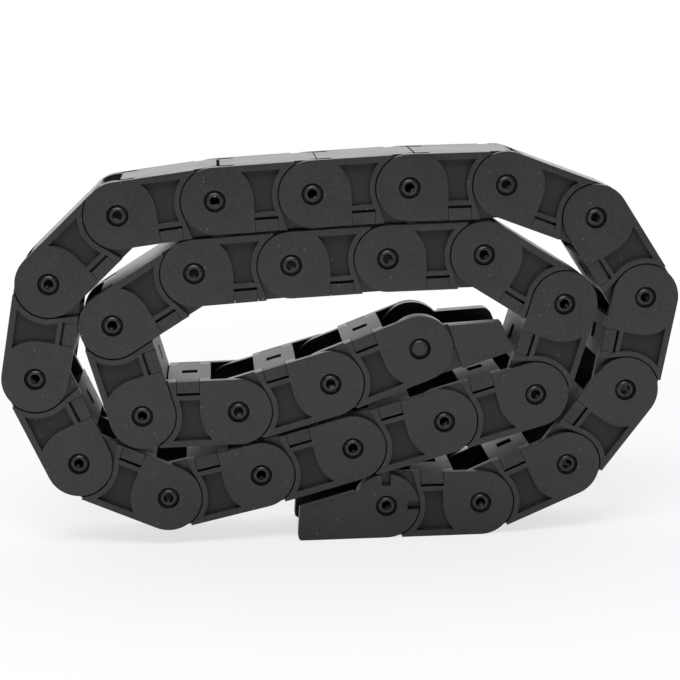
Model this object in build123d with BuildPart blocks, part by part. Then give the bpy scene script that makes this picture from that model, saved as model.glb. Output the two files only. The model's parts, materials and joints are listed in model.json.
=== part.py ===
from build123d import *
import os
from math import cos, hypot, radians, sin, tan

# Cable drag chain, about 1 m long, coiled in two turns and standing on its edge.
# Millimetres. +X runs along the fixed end's base, +Y across the chain, +Z up.
# The origin is the middle of the fixed end's two screw holes, on the surface it stands on.

# Chain sizes
PITCH = 34.0
LINK_HEIGHT = 23.5
CHANNEL_WIDTH = 25.0
PLATE = 2.75
LUG = 2.8
SIDE_CLEARANCE = 0.2
LUG_GAP = 0.45
MAX_BEND = 75.0

# Pivots
STUD_RADIUS = 3.7
STUD_BORE_RADIUS = 1.75
STUD_RECESS = 0.35
STUD_CHAMFER = 0.95
STUD_CHAMFER_ANGLE = 54.0
PIVOT_CLEARANCE = 0.1

# Back plate and the seam between two of them
SEAM_SETBACK = 2.4
SEAM_GAP = 0.25
OUTER_TIP_CUT = 5.5
INNER_TIP_CUT = 7.5

# Moulded pocket in the outside of each wall
POCKET_DEPTH = 2.0
POCKET_RIM = 1.9
POCKET_DISC_RIM = 1.85
POCKET_EDGE = 2.25
POCKET_RIB = 1.6

# Snap-fit lid
LID_TAB_WIDTH = 8.2
LID_TAB_SHIFT = 0.45
LID_TAB_DEPTH = 4.15
LID_FIT = 0.1
LID_END_GAP = 0.4
PRY_GAP = 0.95
LID_SLOT_LENGTH = 5.5
LID_SLOT_WIDTH = 5.0
LID_SLOT_DEPTH = 1.2
LID_SLOT_WINDOW = 1.3

# End brackets
BRACKET_TAIL = 32.0
BRACKET_END_HEIGHT = 11.5
BRACKET_TAPER = 15.0
BRACKET_END_LEAN = 4.0
BRACKET_CORNER = 1.4
BRACKET_TOP_CORNER = 0.5
BRACKET_BACK_PLAY = 0.6
MOVING_TAIL = 31.0
MOVING_FAR_CORNER = 3.6
SCREW_HOLE_RADIUS = 2.25
SCREW_HOLE_SPACING = 15.0
SCREW_HOLE_SETBACK = 22.0
NOTCH_WIDTH = 3.2
NOTCH_DEPTH = 4.2

# Coil: wanted heading of each link in degrees, from the fixed end inwards, and of the moving end
LINK_HEADINGS = [
    0, 24, 53, 79.5, 123, 160, 181.5, 183.5, 184, 187, 224.5, 260.5, 295.5, 337.5,
    373.5, 376, 376, 376.5, 433.5, 508.5, 542, 543.5, 544.5, 572.5, 647, 722, 736.5, 741.5,
]
MOVING_END_HEADING = 739
RUN_GAP = 0.3
OPENING_STEP = 0.25

LINKS = len(LINK_HEADINGS)

# Sizes that follow from those above
half_height = LINK_HEIGHT / 2
half_channel = CHANNEL_WIDTH / 2
lug_face = half_channel + LUG
wall = 2 * LUG + SIDE_CLEARANCE
outer_face = half_channel + wall
swing = half_height + LUG_GAP
leg_angle = radians(90 - MAX_BEND)
tab_middle = PITCH / 2 - LID_TAB_SHIFT
sill = half_height - LID_TAB_DEPTH - PRY_GAP
lid_start = half_height * tan(radians(MAX_BEND / 2)) + LID_END_GAP


def box_sketch(x_low, x_high, y_low, y_high, mode=Mode.ADD):
    """Rectangle between two corners of the current sketch."""
    with Locations(((x_low + x_high) / 2, (y_low + y_high) / 2)):
        Rectangle(x_high - x_low, y_high - y_low, mode=mode)


def swing_room(pivot_x, side, radius):
    """Takes from the current sketch the room in which the neighbour turns about a pivot.

    It is a disc, and on the lid side a wedge up to the line where the neighbour's edge lies at full bend.
    """
    top = LINK_HEIGHT
    leg_foot = (radius * cos(leg_angle), radius * sin(leg_angle))
    leg_top = ((radius - top * sin(leg_angle)) / cos(leg_angle), top)
    wedge = [leg_foot, leg_top, (-radius, top), (-radius, 0), (0, 0)]
    with Locations((pivot_x, 0)):
        Circle(radius, mode=Mode.SUBTRACT)
        Polygon(*[(side * x, z) for x, z in wedge], align=None, mode=Mode.SUBTRACT)


def outer_wall():
    """Outline of a link's outer wall: from the rim round its first pivot to the disc round its second."""
    box_sketch(0, PITCH, -half_height, half_height)
    with Locations((PITCH, 0)):
        Circle(half_height)
    swing_room(0, 1, swing)
    box_sketch(-swing, OUTER_TIP_CUT, -half_height, 0, mode=Mode.SUBTRACT)


def inner_wall():
    """Outline of a link's inner wall: from the lug round its first pivot to the room round its second."""
    box_sketch(0, PITCH, -half_height, half_height)
    Circle(half_height)
    swing_room(PITCH, -1, swing)
    box_sketch(PITCH - INNER_TIP_CUT, PITCH + swing, -half_height, 0, mode=Mode.SUBTRACT)


def stud(bore_radius=0.0):
    """Pivot stud on the inner lug at x = 0, reaching out into the neighbour's hole, hollow if it has a bore."""
    length = LUG + SIDE_CLEARANCE - STUD_RECESS
    with BuildSketch(Plane.XZ.offset(lug_face)) as shank:
        Circle(STUD_RADIUS)
    extrude(shank.sketch, amount=length - STUD_CHAMFER)
    with BuildSketch(Plane.XZ.offset(lug_face + length - STUD_CHAMFER)) as tip:
        Circle(STUD_RADIUS)
    extrude(tip.sketch, amount=STUD_CHAMFER, taper=STUD_CHAMFER_ANGLE)
    if bore_radius:
        with BuildSketch(Plane.XZ.offset(half_channel)) as hollow:
            Circle(bore_radius)
        extrude(hollow.sketch, amount=wall, mode=Mode.SUBTRACT)


def pivot_hole(pivot_x):
    """Hole through the outer lug for the neighbour's stud."""
    with BuildSketch(Plane.XZ.offset(lug_face)) as hole:
        with Locations((pivot_x, 0)):
            Circle(STUD_RADIUS + PIVOT_CLEARANCE)
    extrude(hole.sketch, amount=wall - LUG, mode=Mode.SUBTRACT)


def wall_layer(outline, start, thickness):
    """One layer of the wall on the near side, made from an outline in the chain's side view."""
    with BuildSketch(Plane.XZ.offset(start)) as layer:
        outline()
    extrude(layer.sketch, amount=thickness)


def back_plate(x_low, x_high, half_width):
    """Stretch of the back plate between the walls."""
    with BuildSketch(Plane.XY.offset(-half_height)) as stretch:
        box_sketch(x_low, x_high, -half_width, half_width)
    extrude(stretch.sketch, amount=PLATE)


def middle_wall():
    """Outline where a link's wall has its full thickness: what its inner and outer walls share."""
    with BuildSketch(mode=Mode.PRIVATE) as inner:
        inner_wall()
    outer_wall()
    add(inner.sketch_local, mode=Mode.INTERSECT)


def pocket():
    """Outline of the moulded pocket: between the rim, the disc, the back edge and the rib under the lid."""
    disc = half_height + POCKET_DISC_RIM
    box_sketch(0, PITCH, -half_height + POCKET_EDGE, sill - POCKET_RIB)
    swing_room(0, 1, swing + POCKET_RIM)
    with Locations((PITCH, 0)):
        Circle(disc, mode=Mode.SUBTRACT)
    box_sketch(PITCH - disc, PITCH, 0, half_height, mode=Mode.SUBTRACT)


# Link body: two walls and the back plate in one moulding
with BuildPart() as link_body:
    wall_layer(inner_wall, half_channel, LUG)
    wall_layer(outer_wall, lug_face + SIDE_CLEARANCE, LUG)
    wall_layer(middle_wall, half_channel, wall)
    stud(STUD_BORE_RADIUS)
    pivot_hole(PITCH)
    with BuildSketch(Plane.XZ.offset(outer_face)):
        pocket()
    extrude(amount=-POCKET_DEPTH, mode=Mode.SUBTRACT)
    with BuildSketch(Plane.XZ.offset(half_channel)):
        box_sketch(
            tab_middle - LID_TAB_WIDTH / 2, tab_middle + LID_TAB_WIDTH / 2, sill, half_height
        )
    extrude(amount=wall, mode=Mode.SUBTRACT)
    mirror(about=Plane.XZ)
    back_plate(-SEAM_SETBACK, PITCH - swing, half_channel)
    back_plate(PITCH - swing, PITCH - SEAM_SETBACK - SEAM_GAP, half_channel - SIDE_CLEARANCE)

# Lid: a bar across the channel with a tab at each end that snaps into the wall's notch
with BuildPart() as link_lid:
    tab_profile = [
        (0, half_height - PLATE),
        (half_channel - LID_FIT, half_height - PLATE),
        (half_channel - LID_FIT, sill),
        (lug_face, sill),
        (lug_face, half_height - LID_TAB_DEPTH),
        (outer_face, half_height - LID_TAB_DEPTH),
        (outer_face, half_height),
        (0, half_height),
    ]
    with BuildSketch(Plane.YZ.offset(tab_middle - LID_TAB_WIDTH / 2 + LID_FIT)):
        Polygon(*tab_profile, align=None)
    extrude(amount=LID_TAB_WIDTH - 2 * LID_FIT)
    mirror(about=Plane.XZ)
    with BuildSketch(Plane.XY.offset(half_height)):
        box_sketch(
            lid_start, PITCH - lid_start, LID_FIT - half_channel, half_channel - LID_FIT
        )
    extrude(amount=-PLATE)
    with BuildSketch(Plane.XY.offset(half_height)):
        with Locations((PITCH / 2, 0)):
            Rectangle(LID_SLOT_LENGTH, LID_SLOT_WIDTH)
    extrude(amount=-LID_SLOT_DEPTH, mode=Mode.SUBTRACT)
    with BuildSketch(Plane.XY.offset(half_height)):
        with Locations((PITCH / 2, 0)):
            with GridLocations(LID_SLOT_LENGTH - LID_SLOT_WINDOW, 0, 2, 1):
                Rectangle(LID_SLOT_WINDOW, LID_SLOT_WIDTH)
    extrude(amount=-PLATE, mode=Mode.SUBTRACT)


def tail_outline(tail, start, top_corner=BRACKET_TOP_CORNER):
    """Side of a bracket's tail, from x = start: flat base, leaning end and a top that falls to the end."""
    end_top = BRACKET_END_HEIGHT - half_height
    end_lean = BRACKET_END_HEIGHT * tan(radians(BRACKET_END_LEAN))
    start_top = end_top + (tail - end_lean - start) * tan(radians(BRACKET_TAPER))
    corners = [
        (start, -half_height),
        (tail, -half_height),
        (tail - end_lean, end_top),
        (start, start_top),
    ]
    Polygon(*corners, align=None)
    for corner, radius in ((corners[1], BRACKET_CORNER), (corners[2], top_corner)):
        fillet(vertices().sort_by_distance(corner)[0], radius)


def mirrored(outline):
    """The current sketch drawn the other way round, for the end whose tail runs towards -X."""
    with BuildSketch(mode=Mode.PRIVATE) as one_way:
        outline()
    add(one_way.sketch_local.mirror(Plane.YZ))


# Moving end bracket: its inner lugs carry solid studs under the last link's discs
def moving_lug(top_corner=BRACKET_TOP_CORNER):
    tail_outline(MOVING_TAIL, 0, top_corner)
    Circle(half_height)


def moving_wall(top_corner=BRACKET_TOP_CORNER):
    tail_outline(MOVING_TAIL, swing, top_corner)


with BuildPart() as moving_end:
    stud()
    mirror(about=Plane.XZ)
    wall_layer(moving_lug, half_channel, LUG)
    wall_layer(moving_wall, half_channel, wall)
    wall_layer(lambda: moving_lug(MOVING_FAR_CORNER), -lug_face, LUG)
    wall_layer(lambda: moving_wall(MOVING_FAR_CORNER), -outer_face, wall)
    back_plate(BRACKET_BACK_PLAY - SEAM_SETBACK, MOVING_TAIL - BRACKET_CORNER, half_channel)
    with BuildSketch(Plane.XY.offset(-half_height)):
        with Locations((SCREW_HOLE_SETBACK, 0)):
            with GridLocations(0, SCREW_HOLE_SPACING, 1, 2):
                Circle(SCREW_HOLE_RADIUS)
    extrude(amount=PLATE, mode=Mode.SUBTRACT)


# Fixed end bracket: its outer lugs take the first link's studs
def fixed_lug():
    Circle(half_height)
    mirrored(lambda: tail_outline(BRACKET_TAIL, 0))
    box_sketch(half_height - NOTCH_DEPTH, LINK_HEIGHT, -NOTCH_WIDTH / 2, NOTCH_WIDTH / 2, Mode.SUBTRACT)
    box_sketch(-NOTCH_WIDTH / 2, NOTCH_WIDTH / 2, half_height - NOTCH_DEPTH, LINK_HEIGHT, Mode.SUBTRACT)


def fixed_wall():
    mirrored(lambda: tail_outline(BRACKET_TAIL, 0))
    swing_room(0, -1, swing)
    box_sketch(-INNER_TIP_CUT, 0, -half_height, half_height, Mode.SUBTRACT)


with BuildPart() as fixed_end:
    wall_layer(fixed_lug, lug_face + SIDE_CLEARANCE, LUG)
    wall_layer(fixed_wall, half_channel, wall)
    pivot_hole(0)
    mirror(about=Plane.XZ)
    back_plate(BRACKET_CORNER - BRACKET_TAIL, -swing, half_channel)
    back_plate(-swing, -SEAM_SETBACK - SEAM_GAP, half_channel - SIDE_CLEARANCE)
    with BuildSketch(Plane.XY.offset(-half_height)):
        with Locations((-SCREW_HOLE_SETBACK, 0)):
            with GridLocations(0, SCREW_HOLE_SPACING, 1, 2):
                Circle(SCREW_HOLE_RADIUS)
    extrude(amount=PLATE, mode=Mode.SUBTRACT)


def ahead(point, heading, x, z=0.0):
    """Point of the side view at (x, z) in the frame of a link that starts at point with a heading in degrees."""
    c, s = cos(radians(heading)), sin(radians(heading))
    return (point[0] + c * x - s * z, point[1] + s * x + c * z)


def distance(point, start, end):
    """Distance in the side view from a point to the line from start to end."""
    dx, dz = end[0] - start[0], end[1] - start[1]
    share = ((point[0] - start[0]) * dx + (point[1] - start[1]) * dz) / (dx * dx + dz * dz)
    share = min(1, max(0, share))
    return hypot(point[0] - start[0] - share * dx, point[1] - start[1] - share * dz)


def tail_corners(point, heading, tail, side):
    """Corners of a bracket's tail in the side view."""
    end_top = BRACKET_END_HEIGHT - half_height
    slope = tan(radians(BRACKET_TAPER))
    corners = [(tail, -half_height), (tail, end_top), (swing, end_top + (tail - swing) * slope)]
    return [ahead(point, heading, side * x, z) for x, z in corners]


def lay_coil():
    """Pivots and headings of the coiled chain, laid from the moving end outwards.

    Each link takes its wanted heading, and opens away from the coil until it clears the turn inside it.
    Where it would have to bend backwards for that, the link inside it opens first.
    """
    pivots, headings = [(0.0, 0.0)], [MOVING_END_HEADING]
    inner_tail = tail_corners(pivots[0], MOVING_END_HEADING, MOVING_TAIL, 1)
    heading = LINK_HEADINGS[-1]
    while len(pivots) <= LINKS:
        number = LINKS + 1 - len(pivots)
        pivot = pivots[-1]
        start = ahead(pivot, heading, -PITCH)
        rooms = []
        if number < LINKS:
            rooms = [(distance(p, start, pivot), half_height) for p in inner_tail]
        turn_inside = list(zip(pivots[1:], pivots))[:-1]
        for a, b in turn_inside:
            near = min(
                distance(start, a, b), distance(pivot, a, b),
                distance(a, start, pivot), distance(b, start, pivot),
            )
            rooms.append((near, LINK_HEIGHT))
        if number == 1:
            outer_tail = tail_corners(start, heading, BRACKET_TAIL, -1)
            rooms += [(distance(p, a, b), half_height) for p in outer_tail for a, b in turn_inside]
        if number < LINKS and heading > headings[-1]:
            pivots.pop()
            heading = headings.pop() + OPENING_STEP
        elif any(near < room + RUN_GAP for near, room in rooms):
            heading += OPENING_STEP
        else:
            pivots.append(start)
            headings.append(heading)
            heading = max(LINK_HEADINGS[number - 2], heading - MAX_BEND)
    return pivots[::-1], headings[::-1]


coil_pivots, coil_headings = lay_coil()


def side_plane(pivot, heading):
    """Frame of a link in the coil, with the fixed end's base laid flat on the ground."""
    first_pivot = (SCREW_HOLE_SETBACK, half_height)
    across = (pivot[0] - coil_pivots[0][0], pivot[1] - coil_pivots[0][1])
    turned = ahead(first_pivot, -coil_headings[0], *across)
    angle = radians(heading - coil_headings[0])
    return Plane(
        origin=(turned[0], 0, turned[1]),
        x_dir=(cos(angle), 0, sin(angle)),
        z_dir=(-sin(angle), 0, cos(angle)),
    )


def write(piece, plane, name):
    """Places a piece by the frame of its link and writes it."""
    with BuildPart(plane) as placed:
        add(piece.part)
    placed.part.label = name
    export_step(placed.part, f"parts/{name}.step")


os.makedirs("parts", exist_ok=True)
write(fixed_end, side_plane(coil_pivots[0], coil_headings[0]), "fixed_end_bracket")
for number in range(1, LINKS + 1):
    link_plane = side_plane(coil_pivots[number - 1], coil_headings[number - 1])
    write(link_body, link_plane, f"link_{number:02d}_body")
    write(link_lid, link_plane, f"link_{number:02d}_lid")
write(moving_end, side_plane(coil_pivots[LINKS], coil_headings[LINKS]), "moving_end_bracket")
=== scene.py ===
"""Looks for a coiled cable drag chain of black nylon: its moulded finishes and a small studio."""

import json
import math

import bpy
from mathutils import Matrix, Vector


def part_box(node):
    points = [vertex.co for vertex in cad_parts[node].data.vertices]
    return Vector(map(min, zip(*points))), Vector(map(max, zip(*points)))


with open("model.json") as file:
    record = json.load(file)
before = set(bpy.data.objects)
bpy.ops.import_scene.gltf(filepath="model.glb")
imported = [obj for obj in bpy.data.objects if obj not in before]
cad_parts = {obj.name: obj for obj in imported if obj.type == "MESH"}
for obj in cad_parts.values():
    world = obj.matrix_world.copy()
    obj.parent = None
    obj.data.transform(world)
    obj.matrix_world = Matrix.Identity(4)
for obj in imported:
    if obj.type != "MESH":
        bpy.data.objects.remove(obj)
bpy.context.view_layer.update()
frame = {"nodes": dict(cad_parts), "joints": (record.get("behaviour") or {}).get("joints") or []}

bl_info = {
    "name": "Cable drag chain",
    "version": (1, 0, 0),
    "blender": (4, 5, 0),
    "location": "3D View > Sidebar > Drag Chain",
    "description": "Finishes a coiled nylon cable drag chain and stands it in a small studio",
    "category": "Object",
}

MM = 0.001

# Sizes read from the frame, in metres
LINKS = len(frame["joints"]) - 1
OUTER_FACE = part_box("link_01_body")[1].y

# Edges of the mouldings
CREASE_ANGLE = math.radians(35)
WELD_REACH = 0.002 * MM
BEVEL_SEGMENTS = 2

# Patterns of the nylon: the size of a feature, and the levels between which a pattern fades in
CLOUD_SIZE, CLOUD_FADE = 14 * MM, (0.3, 0.7)
MOTTLE_SIZE, MOTTLE_FADE = 1.1 * MM, (0.4, 0.65)
STREAK_SIZE, STREAK_FADE = 18 * MM, (0.62, 0.72)
STREAK_TURN, STREAK_SCALE = (0.3, 0.9, 0.2), (1, 1, 14)
STREAKED_CLOUDS = (0.45, 0.65)
POCKET_FADE = (0.15 * MM, 0.4 * MM)
DUSTY_SLOPE, DUST_FADE = (0.35, 0.95), (0.4, 0.75)
LINT_CORE = 0.4
NOISE_MIDDLE = 0.5

# Colours as multiples of the nylon's or the dust's, with the share of each
CLOUD_SHADES = (0.7, 1.0)
MOTTLE_SHADE, MOTTLE_SHARE = 1.8, 0.4
# The pockets' colour is darkened as painted shade, standing for the shade in these recesses
POCKET_PAINTED_SHADE, POCKET_PAINTED_SHADE_SHARE = 0.4, 0.9
SCUFF_SHADE, SCUFF_SHARE = 2.2, 0.25
LINT_SHADE, LINT_SHARE = 1.2, 0.8

# Roughness that each pattern adds
CLOUD_ROUGH, MOTTLE_ROUGH, POCKET_ROUGH, SCUFF_ROUGH = 0.1, 0.12, 0.2, 0.1

# Relief on the open faces, and what the pockets add to it
GRAIN_RELIEF, GRAIN_POCKET_RELIEF = 0.6, 0.9
MOTTLE_RELIEF, MOTTLE_POCKET_RELIEF = 0.15, 0.9
BUMP_STRENGTH, BUMP_HEIGHT = 0.35, 0.04 * MM

# Studio: how far round the chain the floor keeps its shadow, and which way the back light comes from
WHITE = (1, 1, 1, 1)
FLOOR_CELLS = 8
NEAR_WHITE = 0.7
SHADOW_REACH = (0.12, 0.5)
BACK_LIGHT_FADE = (-0.1, 0.6)
PHOTO_SIDE = 680
SENSOR_WIDTH = 36.0


class Wire:
    """A shader value. Python's operators on it add Math nodes."""

    def __init__(self, paint, socket):
        self.paint = paint
        self.socket = socket

    def math(self, operation, first, second=0.0):
        return self.paint.node("ShaderNodeMath", {"operation": operation}, {0: first, 1: second})

    def __add__(self, other):
        return self.math("ADD", self, other)

    __radd__ = __add__

    def __mul__(self, other):
        return self.math("MULTIPLY", self, other)

    __rmul__ = __mul__

    def __sub__(self, other):
        return self.math("SUBTRACT", self, other)

    def __rsub__(self, other):
        return self.math("SUBTRACT", other, self)

    def __abs__(self):
        return self.math("ABSOLUTE", self)


class Paint:
    """Node tree of one material or world."""

    def __init__(self, owner):
        owner.use_nodes = True
        self.tree = owner.node_tree
        self.tree.nodes.clear()

    def node(self, kind, settings=None, sockets=None, output=0):
        """Adds a node: its settings first, then its sockets' values or links. Gives one of its outputs."""
        made = self.tree.nodes.new(kind)
        for key, value in (settings or {}).items():
            setattr(made, key, value)
        for key, value in (sockets or {}).items():
            if isinstance(value, Wire):
                self.tree.links.new(value.socket, made.inputs[key])
            else:
                made.inputs[key].default_value = value
        return Wire(self, made.outputs[output]) if made.outputs else None

    def noise(self, place, size, detail, roughness=0.5):
        """Noise with features of a size in metres."""
        return self.node(
            "ShaderNodeTexNoise", None,
            {"Vector": place, "Scale": 1 / size, "Detail": detail, "Roughness": roughness},
        )

    def between(self, value, low, high):
        """0 below low, 1 above high, smooth between them."""
        return self.node(
            "ShaderNodeMapRange", {"interpolation_type": "SMOOTHSTEP"},
            {"Value": value, "From Min": low, "From Max": high},
        )

    def blend(self, share, first, second):
        """Colour between two colours."""
        return self.node(
            "ShaderNodeMix", {"data_type": "RGBA"}, {"Factor": share, 6: first, 7: second}, output=2
        )


def rgba(colour, times=1.0):
    return (*(channel * times for channel in colour), 1)


def moulded_nylon(name, colour, roughness, finish):
    """Black moulded nylon: a fine grain, coarser and duller in the pockets, whose colour is darkened as
    painted shade in these recesses, with scuffs, dust and lint.
    """
    material = bpy.data.materials.new(name)
    paint = Paint(material)
    place = paint.node("ShaderNodeTexCoord", output="Object")
    facing = paint.node("ShaderNodeTexCoord", output="Normal")
    depth = abs(paint.node("ShaderNodeSeparateXYZ", None, {0: place}, output=1))
    upward = paint.node("ShaderNodeSeparateXYZ", None, {0: facing}, output=2)

    off_floor = abs(depth - (OUTER_FACE - finish.pocket_depth))
    pocket = 1 - paint.between(off_floor, *POCKET_FADE)
    cloud = paint.noise(place, CLOUD_SIZE, detail=4)
    mottle = paint.noise(place, MOTTLE_SIZE, detail=3)
    grain = paint.noise(place, finish.grain_size, detail=3, roughness=0.6)
    drawn_out = paint.node(
        "ShaderNodeMapping", None, {0: place, "Rotation": STREAK_TURN, "Scale": STREAK_SCALE}
    )
    streaks = paint.noise(drawn_out, STREAK_SIZE, detail=5, roughness=0.7)
    scuff = paint.between(streaks, *STREAK_FADE) * paint.between(cloud, *STREAKED_CLOUDS)
    dust = paint.between(upward, *DUSTY_SLOPE) * paint.between(mottle, *DUST_FADE) * finish.dust
    off_speck = paint.node("ShaderNodeTexVoronoi", None, {"Vector": place, "Scale": 1 / finish.lint_spacing})
    lint_edge = finish.lint_size / finish.lint_spacing
    lint = 1 - paint.between(off_speck, LINT_CORE * lint_edge, lint_edge)

    base = paint.blend(paint.between(cloud, *CLOUD_FADE), *(rgba(colour, shade) for shade in CLOUD_SHADES))
    base = paint.blend(paint.between(mottle, *MOTTLE_FADE) * MOTTLE_SHARE, base, rgba(colour, MOTTLE_SHADE))
    # Painted shade: the pocket floors' colour is darkened to stand for the shade that falls in these recesses
    base = paint.blend(pocket * POCKET_PAINTED_SHADE_SHARE, base, rgba(colour, POCKET_PAINTED_SHADE))
    base = paint.blend(scuff * SCUFF_SHARE, base, rgba(colour, SCUFF_SHADE))
    base = paint.blend(dust, base, rgba(finish.dust_colour))
    base = paint.blend(lint * LINT_SHARE, base, rgba(finish.dust_colour, LINT_SHADE))
    uneven = CLOUD_ROUGH * (cloud - NOISE_MIDDLE) + MOTTLE_ROUGH * (mottle - NOISE_MIDDLE)
    rough = roughness + uneven + POCKET_ROUGH * pocket + SCUFF_ROUGH * scuff
    relief = grain * (GRAIN_RELIEF + GRAIN_POCKET_RELIEF * pocket)
    relief = relief + mottle * (MOTTLE_RELIEF + MOTTLE_POCKET_RELIEF * pocket)
    bump = paint.node(
        "ShaderNodeBump", None, {"Strength": BUMP_STRENGTH, "Distance": BUMP_HEIGHT, "Height": relief}
    )
    shader = paint.node(
        "ShaderNodeBsdfPrincipled", None,
        {"Base Color": base, "Roughness": rough, "Normal": bump, "IOR": finish.ior},
    )
    paint.node("ShaderNodeOutputMaterial", None, {"Surface": shader})
    return material


def smooth_by_angle():
    """Node group that shades a mesh smooth, except across edges sharper than the crease angle."""
    group = bpy.data.node_groups.new("smooth_by_angle", "GeometryNodeTree")
    for way in ("INPUT", "OUTPUT"):
        group.interface.new_socket("Geometry", in_out=way, socket_type="NodeSocketGeometry")
    nodes, link = group.nodes, group.links.new
    start, end = nodes.new("NodeGroupInput"), nodes.new("NodeGroupOutput")
    plain = nodes.new("GeometryNodeRemoveAttribute")
    plain.inputs["Name"].default_value = "custom_normal"
    faces = nodes.new("GeometryNodeSetShadeSmooth")
    edges = nodes.new("GeometryNodeSetShadeSmooth")
    edges.domain = "EDGE"
    edges.inputs["Shade Smooth"].default_value = False
    angle = nodes.new("GeometryNodeInputMeshEdgeAngle")
    sharp = nodes.new("FunctionNodeCompare")
    sharp.operation = "GREATER_THAN"
    sharp.inputs["B"].default_value = CREASE_ANGLE
    link(angle.outputs["Unsigned Angle"], sharp.inputs["A"])
    link(sharp.outputs["Result"], edges.inputs["Selection"])
    chain = (start, plain, faces, edges, end)
    for first, second in zip(chain, chain[1:]):
        link(first.outputs["Geometry"], second.inputs["Geometry"])
    return group


def round_edges(node, width, smooth):
    """Rounds a moulding's sharp edges with live modifiers, which leave its own mesh as it is."""
    weld = node.modifiers.new("join_facets", "WELD")
    weld.merge_threshold = WELD_REACH
    bevel = node.modifiers.new("moulded_edges", "BEVEL")
    bevel.width = width
    bevel.segments = BEVEL_SEGMENTS
    bevel.limit_method = "ANGLE"
    bevel.angle_limit = CREASE_ANGLE
    bevel.use_clamp_overlap = False
    node.modifiers.new("smooth_faces", "NODES").node_group = smooth
    node.modifiers.new("even_faces", "WEIGHTED_NORMAL").keep_sharp = True


def dress(names, material, width):
    """Gives CAD nodes their finish and rounded edges."""
    smooth = bpy.data.node_groups.get("smooth_by_angle") or smooth_by_angle()
    for name in names:
        node = frame["nodes"][name]
        node.data.materials.clear()
        node.data.materials.append(material)
        round_edges(node, width, smooth)


class ChainFinish(bpy.types.PropertyGroup):
    body_colour: bpy.props.FloatVectorProperty(
        name="Link colour", description="Black nylon of the link bodies", subtype="COLOR",
        default=(0.021, 0.021, 0.0215), min=0, max=1,
    )
    lid_colour: bpy.props.FloatVectorProperty(
        name="Lid colour", description="Black nylon of the lids", subtype="COLOR",
        default=(0.024, 0.024, 0.0245), min=0, max=1,
    )
    bracket_colour: bpy.props.FloatVectorProperty(
        name="Bracket colour", description="Black nylon of the end brackets", subtype="COLOR",
        default=(0.020, 0.020, 0.0205), min=0, max=1,
    )
    dust_colour: bpy.props.FloatVectorProperty(
        name="Dust colour", description="Fine dust on what faces up", subtype="COLOR",
        default=(0.20, 0.195, 0.19), min=0, max=1,
    )
    dust: bpy.props.FloatProperty(
        name="Dust", description="Share of dust on what faces up", subtype="FACTOR",
        default=0.08, min=0, max=1,
    )
    lint_size: bpy.props.FloatProperty(
        name="Lint size", description="Radius of a speck of lint", subtype="DISTANCE", unit="LENGTH",
        default=0.3 * MM, precision=5,
    )
    lint_spacing: bpy.props.FloatProperty(
        name="Lint spacing", description="Distance between specks of lint", subtype="DISTANCE", unit="LENGTH",
        default=4.5 * MM,
    )
    roughness: bpy.props.FloatProperty(
        name="Roughness", description="Roughness of the bodies and brackets", subtype="FACTOR",
        default=0.35, min=0, max=1,
    )
    lid_roughness: bpy.props.FloatProperty(
        name="Lid roughness", description="Roughness of the lids", subtype="FACTOR",
        default=0.46, min=0, max=1,
    )
    ior: bpy.props.FloatProperty(
        name="IOR", description="Refractive index of nylon", default=1.5, min=1, max=2
    )
    grain_size: bpy.props.FloatProperty(
        name="Grain", description="Size of the mould's grain", subtype="DISTANCE", unit="LENGTH",
        default=0.28 * MM,
    )
    pocket_depth: bpy.props.FloatProperty(
        name="Pocket depth", description="Depth of the pocket's floor below the outer face",
        subtype="DISTANCE", unit="LENGTH", default=2.0 * MM,
    )
    edge_round: bpy.props.FloatProperty(
        name="Edge round", description="Width of the rounding along moulded edges",
        subtype="DISTANCE", unit="LENGTH", default=0.12 * MM,
    )


class ChainStage(bpy.types.PropertyGroup):
    floor_colour: bpy.props.FloatVectorProperty(
        name="Floor colour", description="Pale floor", subtype="COLOR",
        default=(0.92, 0.92, 0.92), min=0, max=1,
    )
    floor_size: bpy.props.FloatProperty(
        name="Floor size", description="Side of the floor", subtype="DISTANCE", unit="LENGTH", default=8.0
    )
    key_power: bpy.props.FloatProperty(
        name="Key light", description="Power of the soft light above", subtype="POWER", unit="POWER",
        default=6.5,
    )
    key_size: bpy.props.FloatVectorProperty(
        name="Key size", description="Sides of the soft light above", size=2,
        subtype="XYZ_LENGTH", unit="LENGTH", default=(0.8, 0.35),
    )
    key_place: bpy.props.FloatVectorProperty(
        name="Key place", description="Middle of the soft light above", subtype="TRANSLATION", unit="LENGTH",
        default=(-0.12, -0.5, 0.85),
    )
    front_level: bpy.props.FloatProperty(
        name="Front", description="Strength of the even light from in front", default=0.08, min=0, max=2
    )
    back_level: bpy.props.FloatProperty(
        name="Back", description="Strength of the backdrop's light", default=1.5, min=0, max=4
    )
    yaw: bpy.props.FloatProperty(
        name="Yaw", description="How far the camera looks right of +Y", subtype="ANGLE", unit="ROTATION",
        default=math.radians(3.563),
    )
    pitch: bpy.props.FloatProperty(
        name="Pitch", description="How far the camera looks down", subtype="ANGLE", unit="ROTATION",
        default=math.radians(10.575),
    )
    roll: bpy.props.FloatProperty(
        name="Roll", description="Tilt of the camera about its own view", subtype="ANGLE", unit="ROTATION",
        default=math.radians(-1.09),
    )
    distance: bpy.props.FloatProperty(
        name="Distance", description="Distance from the camera to its aim", subtype="DISTANCE", unit="LENGTH",
        default=0.6702,
    )
    aim: bpy.props.FloatVectorProperty(
        name="Aim", description="Point in the middle of the picture", subtype="TRANSLATION", unit="LENGTH",
        default=(0.00639, -0.01795, 0.07281),
    )
    focal_pixels: bpy.props.FloatProperty(
        name="Focal length", description="Focal length in pixels of the photo", default=1900.0, min=100
    )


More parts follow.
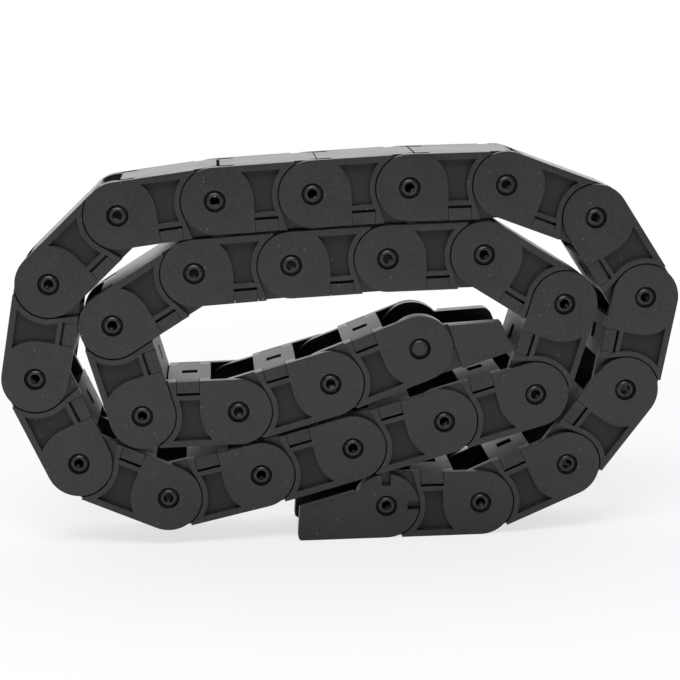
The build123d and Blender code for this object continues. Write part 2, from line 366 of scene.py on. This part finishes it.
class DRAGCHAIN_OT_link_bodies(bpy.types.Operator):
    """Finishes the link bodies"""

    bl_idname = "dragchain.link_bodies"
    bl_label = "Link bodies"

    def execute(self, context):
        finish = context.scene.chain_finish
        names = [f"link_{number:02d}_body" for number in range(1, LINKS + 1)]
        nylon = moulded_nylon("link_nylon_finish", finish.body_colour, finish.roughness, finish)
        dress(names, nylon, finish.edge_round)
        return {"FINISHED"}


class DRAGCHAIN_OT_link_lids(bpy.types.Operator):
    """Finishes the snap-fit lids"""

    bl_idname = "dragchain.link_lids"
    bl_label = "Link lids"

    def execute(self, context):
        finish = context.scene.chain_finish
        names = [f"link_{number:02d}_lid" for number in range(1, LINKS + 1)]
        nylon = moulded_nylon("lid_nylon_finish", finish.lid_colour, finish.lid_roughness, finish)
        dress(names, nylon, finish.edge_round)
        return {"FINISHED"}


class DRAGCHAIN_OT_end_brackets(bpy.types.Operator):
    """Finishes the fixed and moving end brackets"""

    bl_idname = "dragchain.end_brackets"
    bl_label = "End brackets"

    def execute(self, context):
        finish = context.scene.chain_finish
        names = ["fixed_end_bracket", "moving_end_bracket"]
        nylon = moulded_nylon("bracket_nylon_finish", finish.bracket_colour, finish.roughness, finish)
        dress(names, nylon, finish.edge_round)
        return {"FINISHED"}


class DRAGCHAIN_OT_stage(bpy.types.Operator):
    """Sets up the pale floor, the soft light and the camera"""

    bl_idname = "dragchain.stage"
    bl_label = "Studio"

    def execute(self, context):
        scene = context.scene
        stage = scene.chain_stage
        scene.view_settings.view_transform = "Standard"
        self.lay_floor(stage)
        self.light_world(scene, stage)
        self.hang_light(scene, stage)
        self.place_camera(scene, stage)
        return {"FINISHED"}

    def lay_floor(self, stage):
        """Floor that the camera sees as white, but for a soft shadow round the chain."""
        bpy.ops.object.select_all(action="DESELECT")
        bpy.ops.mesh.primitive_grid_add(
            x_subdivisions=FLOOR_CELLS, y_subdivisions=FLOOR_CELLS, size=stage.floor_size
        )
        floor = bpy.context.object
        floor.name = "floor"
        material = bpy.data.materials.new("pale_floor")
        paint = Paint(material)
        place = paint.node("ShaderNodeTexCoord", output="Object")
        reach = paint.node("ShaderNodeVectorMath", {"operation": "LENGTH"}, {0: place}, output="Value")
        seen = paint.node("ShaderNodeLightPath", output="Is Camera Ray")
        away = NEAR_WHITE + (1 - NEAR_WHITE) * paint.between(reach, *SHADOW_REACH)
        pale = paint.node("ShaderNodeBsdfDiffuse", None, {"Color": rgba(stage.floor_colour)})
        white = paint.node("ShaderNodeEmission", None, {"Color": WHITE, "Strength": 1.0})
        mixed = paint.node("ShaderNodeMixShader", None, {0: seen * away, 1: pale, 2: white})
        paint.node("ShaderNodeOutputMaterial", None, {"Surface": mixed})
        floor.data.materials.append(material)

    def light_world(self, scene, stage):
        """Backdrop that the camera sees as white, and that lights the chain mostly from behind."""
        world = bpy.data.worlds.new("studio")
        scene.world = world
        paint = Paint(world)
        seen = paint.node("ShaderNodeLightPath", output="Is Camera Ray")
        direction = paint.node("ShaderNodeTexCoord", output="Generated")
        backward = paint.node("ShaderNodeSeparateXYZ", None, {0: direction}, output="Y")
        extra = stage.back_level - stage.front_level
        level = stage.front_level + extra * paint.between(backward, *BACK_LIGHT_FADE)
        strength = seen + (1 - seen) * level
        light = paint.node("ShaderNodeBackground", None, {"Color": WHITE, "Strength": strength})
        paint.node("ShaderNodeOutputWorld", None, {"Surface": light})

    def hang_light(self, scene, stage):
        lamp = bpy.data.lights.new("key", "AREA")
        lamp.shape = "RECTANGLE"
        lamp.size, lamp.size_y = stage.key_size
        lamp.energy = stage.key_power
        key = bpy.data.objects.new("key", lamp)
        scene.collection.objects.link(key)
        key.location = stage.key_place
        aim = Vector(stage.aim) - key.location
        key.rotation_euler = aim.to_track_quat("-Z", "Y").to_euler()

    def place_camera(self, scene, stage):
        forward = Vector((
            math.sin(stage.yaw) * math.cos(stage.pitch),
            math.cos(stage.yaw) * math.cos(stage.pitch),
            -math.sin(stage.pitch),
        ))
        level = Vector((math.cos(stage.yaw), -math.sin(stage.yaw), 0))
        lift = level.cross(forward)
        right = math.cos(stage.roll) * level + math.sin(stage.roll) * lift
        up = right.cross(forward)
        data = bpy.data.cameras.new("camera")
        data.sensor_width = SENSOR_WIDTH
        data.lens = stage.focal_pixels / PHOTO_SIDE * data.sensor_width
        data.dof.use_dof = False
        camera = bpy.data.objects.new("camera", data)
        scene.collection.objects.link(camera)
        turn = Matrix((right, up, -forward)).transposed().to_4x4()
        camera.matrix_world = Matrix.Translation(Vector(stage.aim) - forward * stage.distance) @ turn
        scene.camera = camera


class DRAGCHAIN_PT_panel(bpy.types.Panel):
    """Buttons and values of the drag chain"""

    bl_idname = "DRAGCHAIN_PT_panel"
    bl_label = "Drag chain"
    bl_space_type = "VIEW_3D"
    bl_region_type = "UI"
    bl_category = "Drag Chain"

    def draw(self, context):
        for operator in OPERATORS:
            self.layout.operator(operator.bl_idname)
        for group in (context.scene.chain_finish, context.scene.chain_stage):
            for name in group.__annotations__:
                self.layout.prop(group, name)


OPERATORS = (
    DRAGCHAIN_OT_link_bodies,
    DRAGCHAIN_OT_link_lids,
    DRAGCHAIN_OT_end_brackets,
    DRAGCHAIN_OT_stage,
)
CLASSES = (ChainFinish, ChainStage, *OPERATORS, DRAGCHAIN_PT_panel)


def register():
    for item in CLASSES:
        bpy.utils.register_class(item)
    bpy.types.Scene.chain_finish = bpy.props.PointerProperty(type=ChainFinish)
    bpy.types.Scene.chain_stage = bpy.props.PointerProperty(type=ChainStage)


def unregister():
    del bpy.types.Scene.chain_stage
    del bpy.types.Scene.chain_finish
    for item in reversed(CLASSES):
        bpy.utils.unregister_class(item)


def main():
    register()
    bpy.ops.dragchain.link_bodies()
    bpy.ops.dragchain.link_lids()
    bpy.ops.dragchain.end_brackets()
    bpy.ops.dragchain.stage()


if __name__ == "__main__":
    main()
